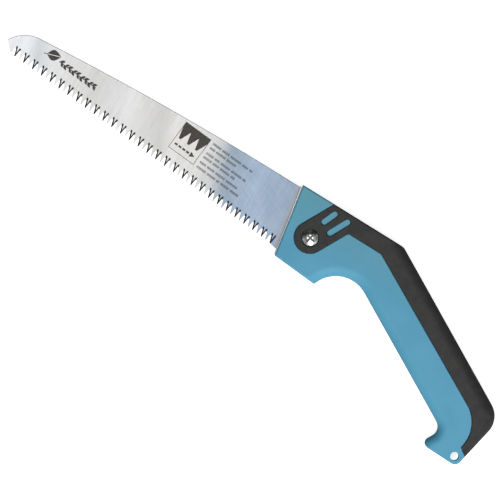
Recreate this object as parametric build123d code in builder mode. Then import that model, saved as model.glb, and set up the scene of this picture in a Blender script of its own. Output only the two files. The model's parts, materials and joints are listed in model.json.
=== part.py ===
from build123d import *
import math
import os

os.makedirs("parts", exist_ok=True)

# All sizes are in millimetres. Sketches are drawn about the pivot axis; level(z) puts a
# sketch plane z above the mid-plane of the handle. The saw lies flat, its thickness along Z.

# ---- place of the pivot in the part's frame ----
PIVOT_X, PIVOT_Y = 43.45, 32.8
HALF_THICK = 11.0  # half the handle's thickness

# ---- blade ----
BLADE_THICK = 1.4
TOOTH_PITCH = 4.307
TOOTH_DEPTH = 5.6
TOOTH_LINE_DEG = -6.38  # slope of the line of tooth tips
FIRST_TIP = (-274.0, 8.5)  # tooth number 0
LAST_TOOTH = 58
TIP_FLAT = 0.8  # width of the cut-off tooth tips
TIP_FLANK_DEG = 19.5  # flank on the side of the blade's tip
HEEL_FLANK_DEG = 3.2
BEVEL_WIDTH = 1.3  # into the tooth, at its tip
BEVEL_OUTER = 0.3  # to the other side of the flank
BEVEL_DEPTH = 0.85
BEVEL_RUNOUT = 2.2  # how far a ground bevel runs on above the gullet
BEVEL_START = 0.6  # how far before the tip of the tooth it starts
BEVEL_FADE = 20.0  # length over which a bevel would rise out of the face
BACK_CHAMFER = 0.35  # along the blade's back and tip

# ---- pivot and stops ----
FOLD_DEG = 151.8
BUSH_R = 4.0
BUSH_BORE_R = 3.05
SCREW_R = 3.0
RUNNING_FIT = 0.05
RELIEF_R = 16.0  # tang radius that passes the stop pin
STOP_PIN_R = 2.0
STOP_PIN_AT = 19.0  # distance of the stop pin from the pivot
STOP_PIN_DEG = 58.0
STOP_GAP = 0.2
LOCK_HEEL_R = 24.5

# ---- liners ----
LINER_IN = 1.2  # inner face, measured from the mid-plane
LINER_THICK = 1.2
POCKET_GAP = 0.1

# ---- handle ----
GRIP_FILLET = 8.0
BACK_FILLET = 9.0
HEAD_FILLET = 1.5
PARTING_CHAMFER = 0.25  # along the seam between the halves
SKIN = 2.5  # thickness of the soft overmould
SOFT_GAP = 0.5  # groove between the soft grip and the shell
SOFT_EDGE = 0.6
ISLAND_SINK = 0.9  # how far the shell lies below the soft grip inside its two slots
HANG_HOLE = (184.3, -92.8)
HANG_HOLE_R = 3.5
GRIP_DEG = -30.9
SCREW_LINE = 33.0  # handle screws: distance of their line from the pivot
SCREW_STEPS = (46.0, 92.0, 138.0, 178.0)
SCREW_SHANK_R = 1.6
SCREW_HEAD_R = 3.4

# ---- lock spring ----
LOCK_DEG = 19.0
LOCK_AT = 19.6  # distance of its centre line from the pivot
LOCK_WIDTH = 5.6
LOCK_THICK = 1.0
LOCK_ROOT = (18.0, 34.0)
RIVET_AT = (22.5, 30.0)
RIVET_R = 1.3

SIDES = {"near": 1, "far": -1}


def level(z):
    """Sketch plane at height z above the mid-plane, centred on the pivot."""
    return Plane(origin=(PIVOT_X, PIVOT_Y, HALF_THICK + z))


def polar(radius, degrees):
    """Point at this radius and angle."""
    a = math.radians(degrees)
    return (radius * math.cos(a), radius * math.sin(a))


def along(origin, degrees, run, rise):
    """Point run along a line at this slope and rise to its left."""
    a = math.radians(degrees)
    x = origin[0] + run * math.cos(a) - rise * math.sin(a)
    y = origin[1] + run * math.sin(a) + rise * math.cos(a)
    return (x, y)


def on_grip(step, line=SCREW_LINE):
    """Point in the grip: step along it and line away from the pivot."""
    return along((0, 0), GRIP_DEG, step, line)


def nearest(edges, x, y, z):
    """The edge that passes closest to a point given about the pivot."""
    spot = Vector(PIVOT_X + x, PIVOT_Y + y, HALF_THICK + z)
    return edges.sort_by(lambda e: e.distance_to(spot))[0]


def export(builder, label):
    """Name a finished part and write its STEP file."""
    builder.part.label = label
    export_step(builder.part, f"parts/{label}.step")


# ---- handle outline ----
HANDLE_CORNERS = [
    (-25.6, 33.6),
    (68.0, 30.4),
    (201.2, -49.75),
    (189.6, -99.2),
    (155.3, -97.2),
    (165.4, -80.3),
    (35.0, -2.1),
    (20.6, -30.1),
    (-17.5, -25.9),
]
END_CORNER, FINGER_CORNER, HOOK_CORNER = 2, 6, 5
END_R, FINGER_R, HOOK_R = 18.0, 26.0, 8.0

with BuildSketch() as handle_sharp:
    with BuildLine():
        Polyline(*HANDLE_CORNERS, close=True)
    make_face()
    for index, radius in ((END_CORNER, END_R), (FINGER_CORNER, FINGER_R), (HOOK_CORNER, HOOK_R)):
        spot = Vector(*HANDLE_CORNERS[index])
        fillet(vertices().sort_by_distance(spot)[0], radius)

with BuildSketch() as handle_round:
    add(handle_sharp.sketch)
    for index, radius in ((1, 8.0), (3, 6.0), (4, 4.5)):
        spot = Vector(*HANDLE_CORNERS[index])
        fillet(vertices().sort_by_distance(spot)[0], radius)

# ---- soft overmould outline, run out past the back of the handle ----
ARM_AT = (-0.4, 0.3)
ARM_R = 13.1
ARM_DEG = 60.2
ARM_SLOTS = (((3.4, 16.6), (7.6, 25.9)), ((11.6, 11.2), (19.4, 25.3)))
SLOT_WIDTH = 4.2
STRIP = [
    along(ARM_AT, ARM_DEG, 60.0, ARM_R),
    along(ARM_AT, ARM_DEG, 16.0, ARM_R),
    along(ARM_AT, ARM_DEG, 16.0, 0.0),
    (26.0, 17.5),
    (54.8, 16.4),
    (189.4, -62.9),
    (184.7, -84.4),
    (197.0, -93.0),
    (225.0, -60.0),
    (80.0, 60.0),
]
STRIP_ROUNDS = ((4, 3.0), (5, 27.0), (6, 1.5))


def arm_slots(width, mode=Mode.ADD):
    """The two slots in the arm of the soft grip."""
    for low, high in ARM_SLOTS:
        centre = ((low[0] + high[0]) / 2, (low[1] + high[1]) / 2)
        reach = math.hypot(high[0] - low[0], high[1] - low[1])
        turn = math.degrees(math.atan2(high[1] - low[1], high[0] - low[0]))
        with Locations(Location((centre[0], centre[1], 0), (0, 0, turn))):
            SlotCenterToCenter(reach, width, mode=mode)


def soft_outline(inset):
    """The soft grip's outline seen from the side, drawn in by inset."""
    with BuildSketch() as region:
        with BuildLine():
            Polyline(*STRIP, close=True)
        make_face()
        for index, radius in STRIP_ROUNDS:
            spot = Vector(*STRIP[index])
            fillet(vertices().sort_by_distance(spot)[0], radius)
        with BuildLine():
            Polyline(
                along(ARM_AT, ARM_DEG, 0.0, ARM_R),
                along(ARM_AT, ARM_DEG, 45.0, ARM_R),
                along(ARM_AT, ARM_DEG, 45.0, -ARM_R),
                along(ARM_AT, ARM_DEG, 0.0, -ARM_R),
                close=True,
            )
        make_face()
        with Locations(ARM_AT):
            Circle(ARM_R)
        corner = vertices().sort_by_distance(Vector(24.6, 17.6))[0]
        fillet(corner, 2.5)
        if inset:
            offset(amount=-inset, kind=Kind.INTERSECTION)
        arm_slots(SLOT_WIDTH + 2 * inset, mode=Mode.SUBTRACT)
    return region.sketch


soft_full = soft_outline(0.0)
CLOSED_RIM = SKIN + 0.4  # the groove around the soft grip stops this far inside the handle's outline

with BuildSketch() as soft_rim:
    add(handle_sharp.sketch)
    offset(amount=-CLOSED_RIM, kind=Kind.INTERSECTION)
    add(soft_full, mode=Mode.INTERSECT)

with BuildSketch() as soft_inset:
    add(soft_full)
    add(soft_rim.sketch, mode=Mode.SUBTRACT)
    add(soft_outline(SOFT_GAP))

# The shell's core under the overmould is stepped, to follow the round of the back.
CORE_STEPS = ((SKIN, 5.5), (SKIN + 3.5, HALF_THICK - SKIN))

with BuildPart() as core:
    for inset, top in CORE_STEPS:
        with BuildSketch(level(0)):
            add(handle_sharp.sketch)
            offset(amount=-inset, kind=Kind.INTERSECTION)
        extrude(amount=top)


# ---- where the blade swings between the shells ----
def folded(point):
    """Where a point of the open blade stands when the blade is folded."""
    return along((0, 0), FOLD_DEG, point[0], point[1])


def by_tooth(number, aside, height=0.0):
    """Point beside the middle of a tooth's tip, and height above the line of tips."""
    return along(FIRST_TIP, TOOTH_LINE_DEG, number * TOOTH_PITCH + aside, height)


SLOT_CLEAR = 1.0
slot_near_end = folded(along(FIRST_TIP, TOOTH_LINE_DEG, 285.0, -SLOT_CLEAR))
slot_far_end = folded(along(FIRST_TIP, TOOTH_LINE_DEG, -30.0, -SLOT_CLEAR))
HEEL_CLEAR_R = 27.4

with BuildSketch() as swing_region:
    Circle(HEEL_CLEAR_R)
    with BuildLine():
        Polyline(
            (-60.0, 31.9),
            (-2.0, 31.9),
            (0.0, 0.0),
            slot_near_end,
            slot_far_end,
            (slot_far_end[0], -260.0),
            (-60.0, -260.0),
            close=True,
        )
    make_face()

# ---- liner outline ----
with BuildSketch() as liner_outline:
    with BuildLine():
        Polyline(
            (-1.0, 31.6),
            (-26.75, 31.9),
            (-18.4, -25.0),
            (18.4, -28.9),
            (22.5, -20.6),
            (29.0, -14.4),
            (38.0, -11.2),
            (47.0, -10.8),
            (48.0, 6.0),
            (40.0, 24.0),
            (32.0, 28.6),
            (2.0, 29.6),
            close=True,
        )
    make_face()
    fillet(vertices().filter_by(lambda v: v.X > 25), 2.5)

with BuildSketch() as liner_pocket:
    add(liner_outline.sketch)
    offset(amount=POCKET_GAP, kind=Kind.INTERSECTION)

with BuildSketch() as lock_window:
    centre = along((0, 0), LOCK_DEG, 3.0, -LOCK_AT)
    with Locations(Location((centre[0], centre[1], 0), (0, 0, LOCK_DEG))):
        Rectangle(31.0, LOCK_WIDTH + 1.0)

# ---- the half handle, before its soft grip and holes are taken out ----
with BuildPart() as half_blank:
    with BuildSketch(level(0)):
        add(handle_sharp.sketch)
    extrude(amount=HALF_THICK)
    rim = edges().group_by(Axis.Z)[-1]
    front = [nearest(rim, *spot, HALF_THICK) for spot in ((21.5, -28.0), (45.0, -11.5), (110.0, -47.1))]
    front += [nearest(rim, *spot, HALF_THICK) for spot in ((162.8, -81.5), (158.0, -92.5))]
    fillet(front, GRIP_FILLET)
    rim = edges().group_by(Axis.Z)[-1]
    back = [nearest(rim, *spot, HALF_THICK) for spot in ((120.0, -1.0), (196.0, -51.0), (194.0, -80.0))]
    fillet(back, BACK_FILLET)
    with BuildSketch(level(0)):
        add(handle_round.sketch)
    extrude(amount=HALF_THICK, mode=Mode.INTERSECT)
    rim = edges().group_by(Axis.Z)[-1]
    head = [nearest(rim, *spot, HALF_THICK) for spot in ((-21.5, 4.0), (1.5, -28.0), (20.0, 32.0))]
    fillet(head, HEAD_FILLET)
    chamfer(edges().group_by(Axis.Z)[0], PARTING_CHAMFER)

# ---- the space that the overmould takes from the half handle ----
with BuildPart() as soft_space:
    with BuildSketch(level(0)):
        add(soft_full)
    extrude(amount=HALF_THICK + 1.0)
    add(core.part, mode=Mode.SUBTRACT)

SOFT_EDGE_SPOTS = (
    (-4.1, 19.6),
    (-6.8, -10.8),
    (17.1, 5.1),
    (40.0, 17.3),
    (114.4, -18.4),
    (184.2, -65.3),
    (186.0, -82.7),
    (2.4, 14.4),
    (10.4, 9.1),
)

with BuildPart() as soft_half:
    add(half_blank.part)
    with BuildSketch(level(0)):
        add(soft_inset.sketch)
    extrude(amount=HALF_THICK + 1.0, mode=Mode.INTERSECT)
    add(core.part, mode=Mode.SUBTRACT)
    rim = edges().group_by(Axis.Z)[-1]
    inner = [nearest(rim, *spot, HALF_THICK) for spot in SOFT_EDGE_SPOTS]
    fillet(inner, SOFT_EDGE)

# ---- hollows inside each shell, between the screw bosses ----
HOLLOWS = ((53.0, 85.0, 27.5, 53.0), (99.0, 131.0, 26.0, 53.0), (145.0, 170.0, 25.0, 51.0))
HOLLOW_TOP = 5.8

with BuildPart() as shell_half:
    add(half_blank.part)
    add(soft_space.part, mode=Mode.SUBTRACT)
    with BuildSketch(level(0)):
        add(swing_region.sketch)
    extrude(amount=LINER_IN, mode=Mode.SUBTRACT)
    with BuildSketch(level(0)):
        add(liner_pocket.sketch)
    extrude(amount=LINER_IN + LINER_THICK + POCKET_GAP / 2, mode=Mode.SUBTRACT)
    for start, stop, low, high in HOLLOWS:
        spot = on_grip((start + stop) / 2, (low + high) / 2)
        with BuildSketch(level(0)):
            with Locations(Location((spot[0], spot[1], 0), (0, 0, GRIP_DEG))):
                RectangleRounded(stop - start, high - low, 4.0)
        extrude(amount=HOLLOW_TOP, mode=Mode.SUBTRACT)
    with BuildSketch(level(0)):
        with Locations(HANG_HOLE):
            Circle(HANG_HOLE_R)
    extrude(amount=HALF_THICK, mode=Mode.SUBTRACT)
    with BuildSketch(level(0)):
        Circle(SCREW_R + 0.1)
    extrude(amount=HALF_THICK, mode=Mode.SUBTRACT)
    with BuildSketch(level(HALF_THICK - ISLAND_SINK)):
        arm_slots(SLOT_WIDTH)
    extrude(amount=HALF_THICK, mode=Mode.SUBTRACT)

# ---- near shell ----
HEAD_SEAT = 8.0  # floor of the recess under the screw head
SEAT_R = 7.4

with BuildPart() as handle_shell_near:
    add(shell_half.part)
    with BuildSketch(level(HEAD_SEAT)):
        Circle(SEAT_R)
    extrude(amount=HALF_THICK, mode=Mode.SUBTRACT)
    centre = along((0, 0), LOCK_DEG, 12.0, -LOCK_AT)
    with BuildSketch(level(0)):
        with Locations(Location((centre[0], centre[1], 0), (0, 0, LOCK_DEG))):
            Rectangle(50.0, LOCK_WIDTH + 1.0)
    extrude(amount=5.2, mode=Mode.SUBTRACT)
    for step in SCREW_STEPS:
        with BuildSketch(level(0)):
            with Locations(on_grip(step)):
                Circle(SCREW_SHANK_R)
        extrude(amount=7.0, mode=Mode.SUBTRACT)
export(handle_shell_near, "handle_shell_near")

with BuildPart() as soft_grip_near:
    add(soft_half.part)
    with BuildSketch(level(HEAD_SEAT)):
        Circle(SEAT_R)
    extrude(amount=HALF_THICK, mode=Mode.SUBTRACT)
export(soft_grip_near, "soft_grip_near")

# ---- far shell ----
NUT_SEAT = 4.0
NUT_SEAT_R = 8.2
HEAD_SINK = 6.0  # depth of the screw counterbores in the far shell

with BuildPart() as handle_shell_far:
    mirror(shell_half.part, about=level(0))
    with BuildSketch(level(-NUT_SEAT)):
        Circle(NUT_SEAT_R)
    extrude(amount=-HALF_THICK, mode=Mode.SUBTRACT)
    for step in SCREW_STEPS:
        with BuildSketch(level(0)):
            with Locations(on_grip(step)):
                Circle(SCREW_SHANK_R + 0.25)
        extrude(amount=-HALF_THICK, mode=Mode.SUBTRACT)
        with BuildSketch(level(-HALF_THICK)):
            with Locations(on_grip(step)):
                Circle(SCREW_HEAD_R + 0.3)
        extrude(amount=HEAD_SINK, mode=Mode.SUBTRACT)
export(handle_shell_far, "handle_shell_far")

with BuildPart() as soft_grip_far:
    mirror(soft_half.part, about=level(0))
    with BuildSketch(level(-NUT_SEAT)):
        Circle(NUT_SEAT_R)
    extrude(amount=-HALF_THICK, mode=Mode.SUBTRACT)
export(soft_grip_far, "soft_grip_far")

# ---- handle screws: one node of four alike ----
with BuildPart() as handle_screws:
    for step in SCREW_STEPS:
        with BuildSketch(level(-HALF_THICK + HEAD_SINK)):
            with Locations(on_grip(step)):
                Circle(SCREW_HEAD_R)
        extrude(amount=-2.4)
        with BuildSketch(level(-HALF_THICK + HEAD_SINK)):
            with Locations(on_grip(step)):
                Circle(SCREW_SHANK_R)
        extrude(amount=HALF_THICK - HEAD_SINK + 6.5)
        with BuildSketch(level(-HALF_THICK + HEAD_SINK - 2.4)):
            with Locations(on_grip(step)):
                Rectangle(3.6, 0.9)
                Rectangle(0.9, 3.6)
        extrude(amount=1.5, mode=Mode.SUBTRACT)
export(handle_screws, "handle_screws")

# ---- liners ----
STANDOFFS = ((25.5, 26.0), (36.0, 19.0), (43.0, 6.0))
STANDOFF_R = 2.4
STANDOFF_BORE = 1.4
stop_pin_at = polar(STOP_PIN_AT, STOP_PIN_DEG)

for side, sign in SIDES.items():
    with BuildPart() as liner:
        with BuildSketch(level(sign * LINER_IN)):
            add(liner_outline.sketch)
            Circle(SCREW_R + RUNNING_FIT, mode=Mode.SUBTRACT)
            with Locations(stop_pin_at):
                Circle(STOP_PIN_R + RUNNING_FIT, mode=Mode.SUBTRACT)
            with Locations(*STANDOFFS):
                Circle(STANDOFF_BORE + RUNNING_FIT, mode=Mode.SUBTRACT)
            if side == "near":
                add(lock_window.sketch, mode=Mode.SUBTRACT)
                with Locations(*[along((0, 0), LOCK_DEG, run, -LOCK_AT) for run in RIVET_AT]):
                    Circle(RIVET_R, mode=Mode.SUBTRACT)
        extrude(amount=sign * LINER_THICK)
    export(liner, f"liner_{side}")

with BuildPart() as liner_standoffs:
    with BuildSketch(level(-LINER_IN)):
        with Locations(*STANDOFFS):
            Circle(STANDOFF_R)
    extrude(amount=2 * LINER_IN)
    with BuildSketch(level(-LINER_IN - LINER_THICK)):
        with Locations(*STANDOFFS):
            Circle(STANDOFF_BORE)
    extrude(amount=2 * (LINER_IN + LINER_THICK))
export(liner_standoffs, "liner_standoffs")

with BuildPart() as stop_pin:
    with BuildSketch(level(-LINER_IN - LINER_THICK)):
        with Locations(stop_pin_at):
            Circle(STOP_PIN_R)
    extrude(amount=2 * (LINER_IN + LINER_THICK))
export(stop_pin, "stop_pin")

# ---- pivot ----
with BuildPart() as pivot_bush:
    with BuildSketch(level(-LINER_IN)):
        Circle(BUSH_R)
        Circle(BUSH_BORE_R, mode=Mode.SUBTRACT)
    extrude(amount=2 * LINER_IN)
export(pivot_bush, "pivot_bush")

WASHER_GAP = 0.02
for side, sign in SIDES.items():
    with BuildPart() as thrust_washer:
        with BuildSketch(level(sign * (BLADE_THICK / 2 + WASHER_GAP))):
            Circle(9.0)
            Circle(BUSH_R + RUNNING_FIT, mode=Mode.SUBTRACT)
        extrude(amount=sign * (LINER_IN - BLADE_THICK / 2 - WASHER_GAP))
    export(thrust_washer, f"thrust_washer_{side}")

CUP_TOP = HEAD_SEAT + 1.2
CUP_R = 6.9
with BuildPart() as screw_cup_washer:
    with BuildSketch(level(HEAD_SEAT)):
        Circle(CUP_R)
        Circle(SCREW_R + 0.1, mode=Mode.SUBTRACT)
    extrude(amount=CUP_TOP - HEAD_SEAT)
    chamfer(edges().group_by(Axis.Z)[-1].sort_by(SortBy.LENGTH)[-1], 0.5)
export(screw_cup_washer, "screw_cup_washer")

HEAD_R = 7.0
HEAD_RIM = 0.8
HEAD_RISE = 3.1
SCREW_END = -10.6
CROSS_LENGTH = 8.4
CROSS_WIDTH = 1.5
CROSS_TURN = 75
with BuildPart() as pivot_screw:
    with BuildSketch(Plane(origin=(PIVOT_X, PIVOT_Y, HALF_THICK), x_dir=(1, 0, 0), z_dir=(0, -1, 0))):
        with BuildLine():
            Polyline((0, CUP_TOP + HEAD_RISE), (0, CUP_TOP), (HEAD_R, CUP_TOP), (HEAD_R, CUP_TOP + HEAD_RIM))
            ThreePointArc(
                (HEAD_R, CUP_TOP + HEAD_RIM),
                (HEAD_R * 0.6, CUP_TOP + HEAD_RIM + 0.72 * (HEAD_RISE - HEAD_RIM)),
                (0, CUP_TOP + HEAD_RISE),
            )
        make_face()
    revolve(axis=Axis((PIVOT_X, PIVOT_Y, 0), (0, 0, 1)))
    with BuildSketch(level(CUP_TOP)):
        Circle(SCREW_R)
    extrude(amount=SCREW_END - CUP_TOP)
    with BuildSketch(level(CUP_TOP + 0.9)):
        with Locations(Location((0, 0, 0), (0, 0, CROSS_TURN))):
            Rectangle(CROSS_LENGTH, CROSS_WIDTH)
            Rectangle(CROSS_WIDTH, CROSS_LENGTH)
    extrude(amount=HEAD_RISE, mode=Mode.SUBTRACT)
export(pivot_screw, "pivot_screw")

FLAT_WASHER = 1.2
SPRING_WASHER = 1.2
NUT_HEIGHT = 4.0
NUT_ACROSS = 10.0
with BuildPart() as pivot_flat_washer:
    with BuildSketch(level(-NUT_SEAT)):
        Circle(7.6)
        Circle(SCREW_R + 0.1, mode=Mode.SUBTRACT)
    extrude(amount=-FLAT_WASHER)
export(pivot_flat_washer, "pivot_flat_washer")

with BuildPart() as pivot_spring_washer:
    with BuildSketch(level(-NUT_SEAT - FLAT_WASHER)):
        Circle(5.2)
        Circle(SCREW_R + 0.1, mode=Mode.SUBTRACT)
        with Locations((5.0, 0.0)):
            Rectangle(5.0, 0.8, mode=Mode.SUBTRACT)
    extrude(amount=-SPRING_WASHER)
export(pivot_spring_washer, "pivot_spring_washer")

with BuildPart() as pivot_nut:
    with BuildSketch(level(-NUT_SEAT - FLAT_WASHER - SPRING_WASHER)):
        RegularPolygon(NUT_ACROSS / 2, 6, major_radius=False)
    extrude(amount=-NUT_HEIGHT)
    with BuildSketch(level(-NUT_SEAT - FLAT_WASHER - SPRING_WASHER - NUT_HEIGHT)):
        Circle(NUT_ACROSS / 2 - 0.3)
    extrude(amount=NUT_HEIGHT, taper=-45, mode=Mode.INTERSECT)
    with BuildSketch(level(-NUT_SEAT)):
        Circle(SCREW_R)
    extrude(amount=-HALF_THICK, mode=Mode.SUBTRACT)
export(pivot_nut, "pivot_nut")

# ---- blade ----
shoulder_half = math.degrees(math.asin((STOP_PIN_R + STOP_GAP) / STOP_PIN_AT))
open_shoulder = STOP_PIN_DEG + shoulder_half
shut_shoulder = 360 + STOP_PIN_DEG - shoulder_half - FOLD_DEG


def tooth_profile():
    """Points of the toothed edge, from the blade's tip to its heel."""
    points = []
    left = TIP_FLAT / 2 + TOOTH_DEPTH * math.tan(math.radians(TIP_FLANK_DEG))
    right = TIP_FLAT / 2 + TOOTH_DEPTH * math.tan(math.radians(HEEL_FLANK_DEG))
    for number in range(-1, LAST_TOOTH + 1):
        if number >= 0:
            points.append(by_tooth(number, -left, TOOTH_DEPTH))
            points.append(by_tooth(number, -TIP_FLAT / 2))
        points.append(by_tooth(number, TIP_FLAT / 2))
        if number < LAST_TOOTH:
            points.append(by_tooth(number, right, TOOTH_DEPTH))
    return points


with BuildSketch() as blade_outline:
    with BuildLine():
        relief_open = polar(RELIEF_R, open_shoulder)
        relief_shut = polar(RELIEF_R, shut_shoulder)
        teeth = tooth_profile()
        Polyline(*teeth, (-17.5, -21.2), polar(LOCK_HEEL_R, shut_shoulder), relief_shut)
        relief_middle = polar(RELIEF_R, (shut_shoulder + open_shoulder - 360) / 2)
        ThreePointArc(relief_shut, relief_middle, relief_open)
        Polyline(relief_open, polar(26.5, open_shoulder), (-4.0, 30.7), (-26.7, 31.0))
        ThreePointArc((-26.7, 31.0), (-150.0, 33.4), (-264.0, 30.5))
        ThreePointArc((-264.0, 30.5), (-276.6, 26.3), (-285.45, 17.1))
        Line((-285.45, 17.1), teeth[0])
    make_face()
    Circle(BUSH_R + RUNNING_FIT, mode=Mode.SUBTRACT)


def ground_bevel(number, lean_deg, face):
    """Wedge that grinds one flank of a tooth back, and gets shallower towards the gullet."""
    slope = TOOTH_LINE_DEG + 90 + lean_deg
    inward = 1 if lean_deg < 0 else -1
    start = along(by_tooth(number, inward * TIP_FLAT / 2), slope, -BEVEL_START, 0.0)
    length = BEVEL_START + TOOTH_DEPTH / math.cos(math.radians(lean_deg)) + BEVEL_RUNOUT
    run = polar(1.0, slope)
    plane = Plane(
        origin=(PIVOT_X + start[0], PIVOT_Y + start[1], HALF_THICK + face * BLADE_THICK / 2),
        x_dir=(-run[1], run[0], 0),
        z_dir=(run[0], run[1], face * BEVEL_DEPTH / BEVEL_FADE),
    )
    lift = face * 0.05
    with BuildPart() as wedge:
        with BuildSketch(plane):
            with BuildLine():
                Polyline(
                    (-inward * BEVEL_OUTER, lift),
                    (inward * BEVEL_WIDTH, lift),
                    (0, -face * BEVEL_DEPTH),
                    close=True,
                )
            make_face()
        extrude(amount=length)
    return wedge.part


bevels = []
for number in range(LAST_TOOTH + 1):
    face = 1 if number % 2 == 0 else -1
    bevels.append(ground_bevel(number, TIP_FLANK_DEG, face))
    if number < LAST_TOOTH:
        bevels.append(ground_bevel(number, -HEEL_FLANK_DEG, face))

with BuildPart() as blade:
    with BuildSketch(level(-BLADE_THICK / 2)):
        add(blade_outline.sketch)
    extrude(amount=BLADE_THICK)
    for face in SIDES.values():
        chamfer(nearest(edges(), -150.0, 33.4, face * BLADE_THICK / 2), BACK_CHAMFER)
    add(bevels, mode=Mode.SUBTRACT)
export(blade, "blade")

# ---- lock spring: root on the near liner, free end behind the tang ----
LOCK_BEND = -3.0  # where the free end starts to rise
LEAF_Z = LINER_IN + LINER_THICK + 0.02
foot = along((0, 0), LOCK_DEG, 0.0, -LOCK_AT)
lock_run = polar(1.0, LOCK_DEG)
lock_side = Plane(
    origin=(PIVOT_X + foot[0], PIVOT_Y + foot[1], HALF_THICK),
    x_dir=(lock_run[0], lock_run[1], 0),
    z_dir=(lock_run[1], -lock_run[0], 0),
)
LOCK_GAP = 0.15
with BuildPart() as lock_spring:
    with BuildSketch(lock_side):
        with BuildLine():
            Polyline(
                (-16.0, -LOCK_THICK / 2),
                (LOCK_BEND, -LOCK_THICK / 2),
                (LOCK_ROOT[0], LEAF_Z),
                (LOCK_ROOT[1], LEAF_Z),
                (LOCK_ROOT[1], LEAF_Z + LOCK_THICK),
                (LOCK_ROOT[0], LEAF_Z + LOCK_THICK),
                (LOCK_BEND, LOCK_THICK / 2),
                (-16.0, LOCK_THICK / 2),
                close=True,
            )
        make_face()
    extrude(amount=LOCK_WIDTH / 2, both=True)
    with BuildSketch(level(-LOCK_THICK)):
        with BuildLine():
            Polyline(
                along((0, 0), shut_shoulder, 5.0, LOCK_GAP),
                along((0, 0), shut_shoulder, 45.0, LOCK_GAP),
                along((0, 0), shut_shoulder, 45.0, -30.0),
                along((0, 0), shut_shoulder, 5.0, -30.0),
                close=True,
            )
        make_face()
    extrude(amount=2 * LOCK_THICK, mode=Mode.SUBTRACT)
    with BuildSketch(level(LEAF_Z)):
        with Locations(*[along((0, 0), LOCK_DEG, run, -LOCK_AT) for run in RIVET_AT]):
            Circle(RIVET_R)
    extrude(amount=LOCK_THICK, mode=Mode.SUBTRACT)
export(lock_spring, "lock_spring")

with BuildPart() as lock_rivets:
    with BuildSketch(level(LINER_IN)):
        with Locations(*[along((0, 0), LOCK_DEG, run, -LOCK_AT) for run in RIVET_AT]):
            Circle(RIVET_R - RUNNING_FIT)
    extrude(amount=LEAF_Z + LOCK_THICK - LINER_IN)
    with BuildSketch(level(LEAF_Z + LOCK_THICK)):
        with Locations(*[along((0, 0), LOCK_DEG, run, -LOCK_AT) for run in RIVET_AT]):
            Circle(2.2)
    extrude(amount=0.8)
export(lock_rivets, "lock_rivets")
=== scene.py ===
import json
import math

import bmesh
import bpy
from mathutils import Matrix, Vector


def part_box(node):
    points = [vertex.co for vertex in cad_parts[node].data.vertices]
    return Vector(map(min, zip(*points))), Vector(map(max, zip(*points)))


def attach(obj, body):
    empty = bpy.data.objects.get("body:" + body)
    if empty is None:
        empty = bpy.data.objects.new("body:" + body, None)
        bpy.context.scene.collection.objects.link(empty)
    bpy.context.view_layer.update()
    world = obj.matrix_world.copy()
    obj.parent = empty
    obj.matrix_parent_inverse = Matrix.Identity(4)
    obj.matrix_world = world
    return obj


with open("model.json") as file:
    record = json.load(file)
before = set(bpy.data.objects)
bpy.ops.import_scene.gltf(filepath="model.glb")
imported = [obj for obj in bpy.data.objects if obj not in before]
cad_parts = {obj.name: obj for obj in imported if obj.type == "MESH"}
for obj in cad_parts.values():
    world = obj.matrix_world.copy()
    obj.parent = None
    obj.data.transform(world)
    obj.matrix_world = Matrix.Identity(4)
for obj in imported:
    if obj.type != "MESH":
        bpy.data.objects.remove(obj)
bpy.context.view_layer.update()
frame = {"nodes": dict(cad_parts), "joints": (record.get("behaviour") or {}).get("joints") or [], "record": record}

# ---- where things are, all from the frame ----
fold = next(j for j in frame["joints"] if j["name"] == "blade_fold")
PIVOT = Vector(fold["pos_m"])
BLADE_LOW, BLADE_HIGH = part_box("blade")
FACE_Z = BLADE_HIGH.z
MM = 0.001


def at(x, y):
    """A point on the handle's mid-plane, given in millimetres about the pivot."""
    return Vector((PIVOT.x + x * MM, PIVOT.y + y * MM, PIVOT.z))


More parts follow.
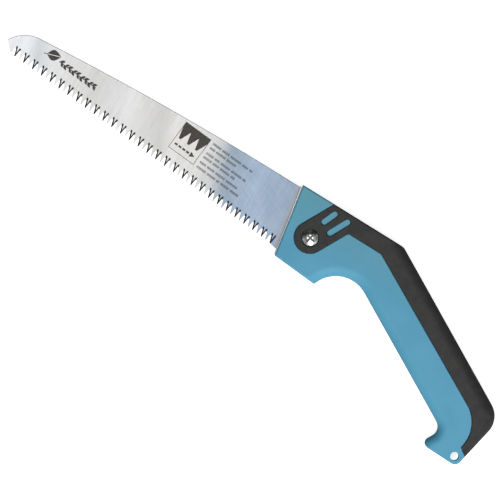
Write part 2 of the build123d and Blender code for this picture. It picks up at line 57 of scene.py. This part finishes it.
# ---- node helpers ----
class Nodes:
    """Short calls for building one node material."""

    def __init__(self, name):
        self.material = bpy.data.materials.new(name)
        self.material.use_nodes = True
        self.tree = self.material.node_tree
        self.tree.nodes.clear()
        self.shader = self.make("ShaderNodeBsdfPrincipled")
        out = self.make("ShaderNodeOutputMaterial")
        self.link(self.shader.outputs["BSDF"], out.inputs["Surface"])
        self.coord = self.make("ShaderNodeTexCoord").outputs["Object"]

    def make(self, kind, **settings):
        node = self.tree.nodes.new(kind)
        for key, value in settings.items():
            setattr(node, key, value)
        return node

    def link(self, a, b):
        self.tree.links.new(a, b)

    def noise(self, scale, detail=3.0, rough=0.5, stretch=None, source=None):
        """Noise at this many features a metre, stretched along an axis if asked."""
        node = self.make("ShaderNodeTexNoise")
        node.inputs["Scale"].default_value = scale
        node.inputs["Detail"].default_value = detail
        node.inputs["Roughness"].default_value = rough
        vector = source or self.coord
        if stretch:
            mapping = self.make("ShaderNodeMapping")
            mapping.inputs["Scale"].default_value = stretch
            self.link(vector, mapping.inputs["Vector"])
            vector = mapping.outputs["Vector"]
        self.link(vector, node.inputs["Vector"])
        return node.outputs["Fac"]

    def turned(self, angle):
        """The place on the surface, turned about Z."""
        node = self.make("ShaderNodeMapping")
        node.inputs["Rotation"].default_value = (0.0, 0.0, angle)
        self.link(self.coord, node.inputs["Vector"])
        return node.outputs["Vector"]

    def ramp(self, source, stops):
        """A colour ramp through (place, colour) stops."""
        node = self.make("ShaderNodeValToRGB")
        band = node.color_ramp
        while len(band.elements) > 1:
            band.elements.remove(band.elements[-1])
        band.elements[0].position = stops[0][0]
        band.elements[0].color = (*stops[0][1], 1.0)
        for place, colour in stops[1:]:
            band.elements.new(place).color = (*colour, 1.0)
        self.link(source, node.inputs["Fac"])
        return node.outputs["Color"]

    def span(self, source, low, high, to_low=0.0, to_high=1.0):
        """Maps low..high to to_low..to_high, and holds it there outside."""
        node = self.make("ShaderNodeMapRange")
        limits = {"From Min": low, "From Max": high, "To Min": to_low, "To Max": to_high}
        for key, value in limits.items():
            node.inputs[key].default_value = value
        self.link(source, node.inputs["Value"])
        return node.outputs["Result"]

    def math(self, operation, a, b=None):
        """One maths step; a and b are numbers or sockets."""
        node = self.make("ShaderNodeMath", operation=operation)
        for slot, value in ((0, a), (1, b)):
            if value is None:
                continue
            if isinstance(value, (int, float)):
                node.inputs[slot].default_value = value
            else:
                self.link(value, node.inputs[slot])
        return node.outputs[0]

    def mix(self, factor, a, b):
        """Colour a turned into colour b by this factor."""
        node = self.make("ShaderNodeMix", data_type="RGBA")
        for slot, value in ((0, factor), (6, a), (7, b)):
            if isinstance(value, (int, float)):
                node.inputs[slot].default_value = value
            elif isinstance(value, tuple):
                node.inputs[slot].default_value = (*value, 1.0)
            else:
                self.link(value, node.inputs[slot])
        return node.outputs[2]

    def axis(self, which, source=None):
        """One coordinate of the place on the surface, in metres, or of another vector."""
        node = self.make("ShaderNodeSeparateXYZ")
        self.link(source or self.coord, node.inputs[0])
        return node.outputs[which]

    def facing(self):
        """How far the surface faces up: 1 up, 0 sideways, -1 down."""
        return self.axis(2, self.make("ShaderNodeNewGeometry").outputs["Normal"])

    def past_line(self, a, b):
        """Distance in metres to the left of the line from a to b, seen from above."""
        way = (b - a).normalized()
        across = Vector((-way.y, way.x, 0.0))
        node = self.make("ShaderNodeVectorMath", operation="DOT_PRODUCT")
        node.inputs[1].default_value = across
        self.link(self.coord, node.inputs[0])
        return self.math("SUBTRACT", node.outputs["Value"], across.x * a.x + across.y * a.y)

    def bump(self, height, strength, distance):
        """A normal bent by this height, by up to distance metres."""
        node = self.make("ShaderNodeBump")
        node.inputs["Strength"].default_value = strength
        node.inputs["Distance"].default_value = distance
        self.link(height, node.inputs["Height"])
        return node.outputs["Normal"]

    def set(self, **inputs):
        """Sets the shader's sockets: a number or colour directly, anything else by a link."""
        for key, value in inputs.items():
            socket = self.shader.inputs[key.replace("_", " ")]
            if isinstance(value, (int, float)):
                socket.default_value = value
            elif isinstance(value, tuple):
                socket.default_value = (*value, 1.0)
            else:
                self.link(value, socket)


# ---- materials ----
HEAD_TONE_FROM = -12.0  # the plastic loses some blue between these places, in mm across the
HEAD_TONE_TO = 30.0  # saw from the pivot


def blue_plastic():
    """Moulded blue plastic with a fine spark texture and slight tone changes."""
    n = Nodes("blue_plastic")
    tone = n.noise(38.0, 2.0)
    base = n.ramp(tone, [(0.3, (0.080, 0.335, 0.500)), (0.7, (0.096, 0.370, 0.548))])
    grain = n.noise(2600.0, 2.0)
    speck = n.noise(900.0, 2.0)
    colour = n.mix(n.span(speck, 0.35, 0.7, 0.0, 0.10), base, (0.125, 0.420, 0.600))
    head = n.span(n.axis(1), PIVOT.y + HEAD_TONE_FROM * MM, PIVOT.y + HEAD_TONE_TO * MM)
    colour = n.mix(head, colour, (0.100, 0.335, 0.435))
    rough = n.span(n.noise(260.0), 0.3, 0.7, 0.44, 0.54)
    n.set(Base_Color=colour, Roughness=rough, Specular_IOR_Level=0.36)
    n.set(Normal=n.bump(grain, 0.20, 0.00008))
    return n.material


def black_rubber():
    """Soft matt overmould, mottled, with a fine pebble grain."""
    n = Nodes("black_rubber")
    tone = n.noise(160.0, 4.0, 0.6)
    base = n.ramp(tone, [(0.3, (0.026, 0.026, 0.026)), (0.7, (0.040, 0.039, 0.038))])
    grain = n.noise(1700.0, 3.0, 0.6)
    rough = n.span(n.noise(300.0), 0.3, 0.7, 0.52, 0.66)
    n.set(Base_Color=base, Roughness=rough, Specular_IOR_Level=0.28)
    n.set(Normal=n.bump(grain, 0.35, 0.00012))
    return n.material


# Painted reflections along the blade, as colour from its tip: distance from the pivot in millimetres, then colour.
BLADE_REFLECTION_TONES = [
    (-281.0, (0.655, 0.662, 0.690)),
    (-266.0, (0.670, 0.680, 0.710)),
    (-256.0, (0.500, 0.525, 0.550)),
    (-247.0, (0.580, 0.590, 0.600)),
    (-226.0, (0.575, 0.575, 0.570)),
    (-205.0, (0.505, 0.500, 0.490)),
    (-188.0, (0.520, 0.518, 0.515)),
    (-169.0, (0.590, 0.590, 0.585)),
    (-151.0, (0.500, 0.495, 0.485)),
    (-140.0, (0.455, 0.450, 0.435)),
    (-127.0, (0.560, 0.555, 0.540)),
    (-104.0, (0.530, 0.525, 0.510)),
    (-91.0, (0.460, 0.470, 0.475)),
    (-80.0, (0.220, 0.275, 0.345)),
    (-58.0, (0.232, 0.312, 0.420)),
    (-30.0, (0.218, 0.285, 0.382)),
]

FIRST_TIP = at(-274.0, 8.5)
TOOTH_PITCH = 4.307 * MM
TOOTH_SLOPE = math.radians(-6.38)
TIP_FLAT = 0.8 * MM
TIP_FLANK = math.radians(19.5)
HEEL_FLANK = math.radians(3.2)
GROUND_WIDTH = 1.1 * MM  # how far the dark ground steel and its painted shade reach in from each flank
GROUND_HEIGHT = 7.8 * MM  # and how high above the tooth tips
GROUND_OVER = 0.4 * MM  # how far it runs out past the flank, clear of the tooth's edge
GROUND_SOFT = 0.1 * MM  # width of the soft border there
SIDEWAYS = 0.12  # faces that look up or down less than this are the cut edges of the sheet
FLATWAYS = 0.30  # and from here on they belong to the blade's sides


def tooth_flanks(n, facing):
    """Where the ground teeth are dark, for hardened steel and painted shade together: each second tooth on one
    face, the others on the other.
    """
    way = Vector((math.cos(TOOTH_SLOPE), math.sin(TOOTH_SLOPE), 0.0))
    height = n.past_line(FIRST_TIP, FIRST_TIP + way)
    run = n.past_line(FIRST_TIP, FIRST_TIP + Vector((way.y, -way.x, 0.0)))
    far_side = n.math("LESS_THAN", facing, 0.0)
    run = n.math("SUBTRACT", run, n.math("MULTIPLY", far_side, TOOTH_PITCH))
    repeat = 2 * TOOTH_PITCH
    nearest = n.math("MAXIMUM", n.math("ROUND", n.math("DIVIDE", run, repeat)), 0.0)
    aside = n.math("SUBTRACT", run, n.math("MULTIPLY", nearest, repeat))
    strokes = []
    for lean, side in ((TIP_FLANK, 1.0), (HEEL_FLANK, -1.0)):
        across = n.math("MULTIPLY", n.math("ADD", aside, side * TIP_FLAT / 2), side * math.cos(lean))
        inside = n.math("ADD", across, n.math("MULTIPLY", height, math.sin(lean)))
        inner = n.span(inside, GROUND_WIDTH, 0.85 * GROUND_WIDTH)
        outer = n.span(inside, -GROUND_OVER, GROUND_SOFT - GROUND_OVER)
        strokes.append(n.math("MULTIPLY", inner, outer))
    both = n.math("MAXIMUM", *strokes)
    flat = n.span(n.math("ABSOLUTE", facing), SIDEWAYS, FLATWAYS)
    low = n.span(height, GROUND_HEIGHT, 0.95 * GROUND_HEIGHT)
    return n.math("MULTIPLY", n.math("MULTIPLY", both, flat), low)


BRUSH_TURN = math.radians(-61.0)  # which way the brush marks on the blade run
BAND_WARP = 5.0 * MM  # how far the bands of painted reflection wander along the blade
BAND_SLANT = 0.25  # how far they lean, along the blade for each step across it
HEAD_LINE = (at(-25.6, 33.6), at(-17.5, -25.9))  # the head's front edge, where it shades the blade
# painted shade: grey laid on faces that tilt away from flat, such as the chamfers along the blade's back and tip
CHAMFER_SHADE_GREY = (0.16, 0.16, 0.17)
# dark of the ground, hardened tooth facets, with painted shade on them as well
GROUND_DARK_AND_SHADE = (0.026, 0.024, 0.021)


def blade_steel():
    """Polished blade steel: silver with painted reflections as cool and warm bands along it, painted shade along
    the head's edge and on tilted faces, and dark ground tooth bevels with painted shade.
    """
    n = Nodes("blade_steel")
    warp = n.span(n.noise(14.0, 2.0), 0.25, 0.75, -BAND_WARP, BAND_WARP)
    shift = n.math("MULTIPLY", n.math("SUBTRACT", n.axis(1), PIVOT.y), BAND_SLANT)
    place = n.math("ADD", n.math("ADD", n.axis(0), warp), shift)
    start = BLADE_LOW.x
    band = n.span(place, start, PIVOT.x)
    length = PIVOT.x - start
    stops = [((PIVOT.x + x * MM - start) / length, colour) for x, colour in BLADE_REFLECTION_TONES]
    # painted reflection: the ramp lays cool and warm bands of colour along the blade
    colour = n.ramp(band, stops)
    cloud = n.noise(60.0, 4.0, 0.6)
    colour = n.mix(n.span(cloud, 0.35, 0.75, 0.0, 0.12), colour, (0.64, 0.66, 0.68))
    brushed = n.noise(1000.0, 2.0, 0.5, stretch=(1.0, 0.05, 1.0), source=n.turned(BRUSH_TURN))
    lighter = n.mix(0.5, colour, (0.80, 0.82, 0.85))
    colour = n.mix(n.span(brushed, 0.35, 0.65, 0.0, 0.12), colour, lighter)
    head_line = n.past_line(*HEAD_LINE)
    colour = n.mix(n.span(head_line, -4.2 * MM, -1.6 * MM, 0.0, 0.75), colour, (0.34, 0.315, 0.32))
    facing = n.facing()
    # painted shade on faces that tilt away from flat, by how far they tilt
    chamfer = n.math("MULTIPLY", n.span(n.math("ABSOLUTE", facing), 0.985, 0.94), 0.30)
    colour = n.mix(chamfer, colour, CHAMFER_SHADE_GREY)
    # ground tooth facets: dark hardened steel together with painted shade
    bevel = tooth_flanks(n, facing)
    colour = n.mix(bevel, colour, GROUND_DARK_AND_SHADE)
    streak = n.noise(900.0, 3.0, 0.6, stretch=(1.0, 0.06, 1.0))
    rough = n.math("ADD", n.span(streak, 0.3, 0.7, 0.32, 0.42), n.math("MULTIPLY", bevel, 0.15))
    metal = n.math("MULTIPLY", n.math("SUBTRACT", 1.0, bevel), 0.85)
    n.set(Base_Color=colour, Metallic=metal, Roughness=rough, Specular_IOR_Level=0.3)
    n.set(Normal=n.bump(streak, 0.05, 0.00003))
    return n.material


LINER_EDGE = (at(-26.75, 31.9), at(-18.4, -25.0))  # the sheared front edge of the liners


def liner_steel():
    """Bright stamped liners, with a painted shadow line along the sheared front edge."""
    n = Nodes("liner_steel")
    base = n.ramp(n.noise(400.0, 3.0), [(0.3, (0.78, 0.77, 0.73)), (0.7, (0.88, 0.87, 0.84))])
    inside = n.past_line(*LINER_EDGE)
    # painted shadow: a dark line just inside the liners' front edge
    edge = n.span(inside, 0.45 * MM, 0.25 * MM)
    colour = n.mix(edge, base, (0.16, 0.15, 0.14))
    marks = n.noise(1200.0, 2.0, 0.5, stretch=(1.0, 0.2, 1.0))
    n.set(Base_Color=colour, Metallic=0.75, Roughness=n.span(marks, 0.3, 0.7, 0.34, 0.46))
    n.set(Normal=n.bump(marks, 0.08, 0.00003))
    return n.material


RECESS_R = 4.4 * MM  # just past the ends of the cross
RECESS_TOP = 10.6 * MM  # height above the mid-plane where the painted shade starts in the recess
RECESS_DARK = 10.3 * MM  # and where it is full


def screw_chrome():
    """Chrome screw head, darker in random patches, with painted shade on the floor and walls of its cross recess.
    """
    n = Nodes("screw_chrome")
    base = n.ramp(n.noise(330.0, 3.0), [(0.40, (0.34, 0.335, 0.33)), (0.62, (0.88, 0.88, 0.87))])
    away = n.make("ShaderNodeVectorMath", operation="DISTANCE")
    flat = n.make("ShaderNodeCombineXYZ")
    n.link(n.axis(0), flat.inputs[0])
    n.link(n.axis(1), flat.inputs[1])
    n.link(flat.outputs[0], away.inputs[0])
    away.inputs[1].default_value = (PIVOT.x, PIVOT.y, 0.0)
    middle = n.span(away.outputs["Value"], RECESS_R, RECESS_R - 0.2 * MM)
    deep = n.span(n.axis(2), PIVOT.z + RECESS_TOP, PIVOT.z + RECESS_DARK)
    wall = n.span(n.math("ABSOLUTE", n.facing()), 0.5, 0.3)
    # painted shade: the recess floor and its side walls are darkened
    recess = n.math("MULTIPLY", middle, n.math("MAXIMUM", deep, wall))
    colour = n.mix(recess, base, (0.17, 0.165, 0.16))
    swirl = n.noise(500.0, 3.0, 0.5)
    rough = n.math("ADD", n.span(swirl, 0.3, 0.7, 0.05, 0.14), n.math("MULTIPLY", recess, 0.4))
    n.set(Base_Color=colour, Metallic=1.0, Roughness=rough)
    n.set(Normal=n.bump(swirl, 0.25, 0.00010))
    return n.material


def plain_finish(name, low, high, rough, metallic=1.0):
    """Small inner part, metal unless it is said not to be, with faint marks."""
    n = Nodes(name)
    base = n.ramp(n.noise(400.0, 3.0), [(0.3, low), (0.7, high)])
    marks = n.noise(1200.0, 2.0, 0.5, stretch=(1.0, 0.2, 1.0))
    n.set(Base_Color=base, Metallic=metallic, Roughness=n.span(marks, 0.3, 0.7, rough, rough + 0.12))
    n.set(Normal=n.bump(marks, 0.08, 0.00003))
    return n.material


def etched_mark():
    """Dark etched print on the blade, slightly uneven."""
    n = Nodes("etched_mark")
    patches = n.noise(900.0, 3.0, 0.6)
    base = n.ramp(patches, [(0.3, (0.058, 0.052, 0.046)), (0.7, (0.100, 0.092, 0.082))])
    n.set(Base_Color=base, Roughness=0.7, Specular_IOR_Level=0.2)
    return n.material


MATERIALS = {
    "handle_plastic": blue_plastic(),
    "soft_rubber": black_rubber(),
    "blade_steel": blade_steel(),
    "liner_steel": liner_steel(),
    "screw_chrome": screw_chrome(),
    "zinc_steel": plain_finish("zinc_steel", (0.50, 0.51, 0.52), (0.66, 0.67, 0.68), 0.30),
    "spring_steel": plain_finish("spring_steel", (0.28, 0.29, 0.31), (0.42, 0.43, 0.45), 0.28),
    "bush_bronze": plain_finish("bush_bronze", (0.50, 0.34, 0.14), (0.66, 0.46, 0.22), 0.34),
    "washer_polymer": plain_finish("washer_polymer", (0.76, 0.75, 0.70), (0.84, 0.83, 0.79), 0.45, 0.0),
}

for part in frame["record"]["subparts"]:
    node = frame["nodes"][part["node"]]
    node.data.materials.clear()
    node.data.materials.append(MATERIALS[part["material_slot"]])

# ---- generic marks on the near face of the blade, sizes in millimetres ----
MARK_SLOPE = math.radians(-6.4)  # the marks run along the line of teeth
MARK_RISE = 0.02  # height of the marks above the blade's face
MARK_SINK = 0.05  # and how far they reach into it
INK = etched_mark()


def mark_point(origin, run, rise):
    """A point of a mark, from run along the line of teeth and rise towards the blade's back."""
    c, s = math.cos(MARK_SLOPE), math.sin(MARK_SLOPE)
    return (origin[0] + run * c - rise * s, origin[1] + run * s + rise * c)


def bar(x0, y0, x1, y1):
    """Outline of an upright rectangle."""
    return [(x0, y0), (x1, y0), (x1, y1), (x0, y1)]


def mark(name, origin, shapes):
    """Thin raised print: each shape is a closed outline of (run, rise) points."""
    b = bmesh.new()
    for shape in shapes:
        ring = []
        for run, rise in shape:
            place = at(*mark_point(origin, run, rise))
            ring.append(b.verts.new((place.x, place.y, FACE_Z - MARK_SINK * MM)))
        face = b.faces.new(ring)
        if face.normal.z < 0:
            face.normal_flip()
        lifted = bmesh.ops.extrude_face_region(b, geom=[face])["geom"]
        tops = [v for v in lifted if isinstance(v, bmesh.types.BMVert)]
        bmesh.ops.translate(b, verts=tops, vec=(0.0, 0.0, (MARK_RISE + MARK_SINK) * MM))
    bmesh.ops.recalc_face_normals(b, faces=b.faces)
    mesh = bpy.data.meshes.new(name)
    b.to_mesh(mesh)
    b.free()
    mesh.materials.append(INK)
    piece = bpy.data.objects.new(name, mesh)
    bpy.context.scene.collection.objects.link(piece)
    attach(piece, "blade")


def turned(points, x, y, degrees):
    """The points turned about the origin and moved to x, y."""
    c, s = math.cos(math.radians(degrees)), math.sin(math.radians(degrees))
    return [(x + u * c - v * s, y + u * s + v * c) for u, v in points]


LEAF_STEPS = 10  # straight pieces along each side of a leaf


def leaf_side(length, width, rib, side):
    """Half a pointed leaf, widest before its middle, on one side of a rib of this half width."""
    edge = []
    for i in range(1, LEAF_STEPS):
        t = i / LEAF_STEPS
        half = 0.5 * width * math.sin(math.pi * t ** 0.85) ** 1.15
        edge.append((t * length, side * max(rib, half)))
    return [(0.0, side * rib)] + edge + [(length, side * rib)]


def leaf(x, y, length, width, degrees):
    """Outline of a small leaf that starts at x, y."""
    outline = leaf_side(length, width, 0.0, 1) + leaf_side(length, width, 0.0, -1)[-2:0:-1]
    return turned(outline, x, y, degrees)


EMBLEM_AT = (-247.5, 24.4)
EMBLEM_LEAF = (11.8, 8.6)  # length and width
EMBLEM_RIB = 0.28  # half the width of the bare rib
EMBLEM_TURN = 22.0  # degrees


def leaf_emblem():
    """One leaf with a bare rib and a stalk."""
    outlines = [leaf_side(*EMBLEM_LEAF, EMBLEM_RIB, side) for side in (1, -1)]
    stalk = bar(-2.6, -0.35, 0.4, 0.35)
    shapes = [turned(outline, -4.9, -1.8, EMBLEM_TURN) for outline in (*outlines, stalk)]
    mark("blade_leaf_mark", EMBLEM_AT, shapes)


SPRIG_AT = (-241.3, 22.6)
SPRIG_LENGTH = 36.0
SPRIG_PAIRS = 9
SPRIG_PITCH = 3.9
SPRIG_LEAN = 34.0  # degrees
STEM_HALF = 0.35


def sprig():
    """A row of small leaves on a stem, in the place of a name."""
    shapes = [bar(0.0, -STEM_HALF, SPRIG_LENGTH, STEM_HALF)]
    for i in range(SPRIG_PAIRS):
        x = 0.8 + i * SPRIG_PITCH
        side = 1 if i % 2 == 0 else -1
        shapes.append(leaf(x, side * 0.3, 4.6, 2.2, side * SPRIG_LEAN))
        shapes.append(leaf(x + 1.2, -side * 0.3, 3.8, 1.9, -side * SPRIG_LEAN))
    mark("blade_sprig_mark", SPRIG_AT, shapes)


ICON_AT = (-133.2, 7.0)
ICON_SIDE = 24.4
ICON_LINE = 0.4
ICON_TEETH = 3
ICON_ROOT = 5.0  # how far below the frame's top the drawn teeth part, and where they end
ICON_TIP = 14.0
DASHES = 4
DASH_PITCH = 3.7
DASH_LENGTH = 2.6
DASH_LOW = 4.6
DASH_HIGH = 6.2
ARROW_FROM = 17.4
ARROW_TO = 21.6
ARROW_HALF = 2.2


def tooth_icon():
    """Teeth that hang from the top of a frame, over a dashed arrow."""
    side, line = ICON_SIDE, ICON_LINE
    shapes = [
        bar(0.0, 0.0, side, line),
        bar(0.0, line, line, side),
        bar(side - line, line, side, side),
    ]
    pitch = (side - 2 * line) / ICON_TEETH
    root, tip = side - ICON_ROOT, side - ICON_TIP
    for i in range(ICON_TEETH):
        x = line + i * pitch
        left = [(x, side), (x, root), (x + 0.30 * pitch, tip)]
        right = [(x + 0.52 * pitch, tip), (x + pitch, root), (x + pitch, side)]
        shapes.append(left + right)
    for i in range(DASHES):
        x = 2.6 + i * DASH_PITCH
        shapes.append(bar(x, DASH_LOW, x + DASH_LENGTH, DASH_HIGH))
    middle = (DASH_LOW + DASH_HIGH) / 2
    shapes.append([
        (ARROW_FROM, DASH_LOW),
        (ARROW_FROM, middle - ARROW_HALF),
        (ARROW_TO, middle),
        (ARROW_FROM, middle + ARROW_HALF),
        (ARROW_FROM, DASH_HIGH),
    ])
    mark("blade_tooth_icon", ICON_AT, shapes)


TICKS_AT = (-103.4, 26.6)
# Lines of fine ticks: rise of each line, then the number of ticks in each group along it.
TICK_LINES = [
    (0.0, (8, 7, 10, 6, 3)),
    (-4.0, (5, 9, 9)),
    (-9.0, (7, 5, 9, 10, 3)),
    (-12.8, (8, 6, 9, 4)),
    (-17.6, (6, 7, 9, 11)),
    (-22.0, (9, 8, 3, 8, 8)),
]
TICK_PITCH = 1.0
TICK_WIDTH = 0.58
TICK_HEIGHT = 1.9
TICK_GAP = 1.1  # extra space between groups


def tick_rows():
    """Rows of plain fine ticks in the place of small print."""
    shapes = []
    for rise, groups in TICK_LINES:
        low, high = rise - TICK_HEIGHT / 2, rise + TICK_HEIGHT / 2
        x = 0.0
        for count in groups:
            for _ in range(count):
                shapes.append(bar(x, low, x + TICK_WIDTH, high))
                x += TICK_PITCH
            x += TICK_GAP
    mark("blade_tick_marks", TICKS_AT, shapes)


leaf_emblem()
sprig()
tooth_icon()
tick_rows()

# ---- stage ----
ROLL = math.radians(29.8)  # how far the camera is turned about its own axis
FLOOR_HALF = 6.0
FLOOR_DROP = 0.0004  # gap under the saw, so that the two surfaces don't fight
FLOOR_GLOW = 0.75
WORLD_DIM = 0.07  # strength of the surroundings away from the light, and towards it
WORLD_BRIGHT = 0.66
LAMPS_AIM = Vector((0.0, 0.0, 0.0))  # the middle of the saw, on the floor
KEY_WATTS = 11.5
TOP_WATTS = 9.4
right = Vector((math.cos(ROLL), math.sin(ROLL), 0.0))
up = Vector((-math.sin(ROLL), math.cos(ROLL), 0.0))
light_from = (0.12 * right - up).normalized()


def floor():
    """A white floor just under the saw, lit from within, that bounced rays don't meet."""
    mesh = bpy.data.meshes.new("floor")
    b = bmesh.new()
    bmesh.ops.create_grid(b, x_segments=2, y_segments=2, size=FLOOR_HALF)
    b.to_mesh(mesh)
    b.free()
    piece = bpy.data.objects.new("floor", mesh)
    piece.location.z = -FLOOR_DROP
    bpy.context.scene.collection.objects.link(piece)
    n = Nodes("floor_paper")
    base = n.ramp(n.noise(3.0, 2.0), [(0.3, (0.80, 0.80, 0.80)), (0.7, (0.82, 0.82, 0.82))])
    n.set(Base_Color=base, Roughness=0.9, Specular_IOR_Level=0.1)
    n.set(Emission_Color=(1.0, 1.0, 1.0), Emission_Strength=FLOOR_GLOW)
    mesh.materials.append(n.material)
    piece.visible_diffuse = False
    piece.visible_glossy = False


def lamp(name, energy, size, place):
    """A round soft light, aimed at the middle of the saw."""
    data = bpy.data.lights.new(name, "AREA")
    data.energy = energy
    data.shape = "DISK"
    data.size = size
    piece = bpy.data.objects.new(name, data)
    bpy.context.scene.collection.objects.link(piece)
    piece.location = place
    piece.rotation_euler = (LAMPS_AIM - Vector(place)).to_track_quat("-Z", "Y").to_euler()


def studio_world():
    """White surroundings, brighter on the side that the light comes from."""
    world = bpy.data.worlds.new("studio")
    bpy.context.scene.world = world
    world.use_nodes = True
    tree = world.node_tree
    coord = tree.nodes.new("ShaderNodeTexCoord")
    dot = tree.nodes.new("ShaderNodeVectorMath")
    dot.operation = "DOT_PRODUCT"
    dot.inputs[1].default_value = light_from
    tree.links.new(coord.outputs["Generated"], dot.inputs[0])
    span = tree.nodes.new("ShaderNodeMapRange")
    limits = {"From Min": -0.5, "From Max": 0.5, "To Min": WORLD_DIM, "To Max": WORLD_BRIGHT}
    for key, value in limits.items():
        span.inputs[key].default_value = value
    tree.links.new(dot.outputs["Value"], span.inputs["Value"])
    background = tree.nodes["Background"]
    background.inputs["Color"].default_value = (1.0, 1.0, 1.0, 1.0)
    tree.links.new(span.outputs["Result"], background.inputs["Strength"])


floor()
studio_world()
lamp("key", KEY_WATTS, 1.2, 1.1 * light_from + Vector((0.0, 0.0, 1.2)))
lamp("top", TOP_WATTS, 1.6, (0.0, 0.0, 2.0))

# ---- camera ----
VIEW_WIDTH = 0.395  # how much the picture shows across, at the pivot's height
LENS = 400.0  # a very long lens, in millimetres, so the view is nearly parallel
SENSOR = 36.0
centre = at(-36.5, -31.8)
camera_data = bpy.data.cameras.new("camera")
camera_data.lens = LENS
camera_data.sensor_width = SENSOR
camera = bpy.data.objects.new("camera", camera_data)
bpy.context.scene.collection.objects.link(camera)
camera.location = (centre.x, centre.y, PIVOT.z + VIEW_WIDTH * LENS / SENSOR)
camera.rotation_euler = (0.0, 0.0, ROLL)
bpy.context.scene.camera = camera
bpy.context.scene.view_settings.view_transform = "Standard"
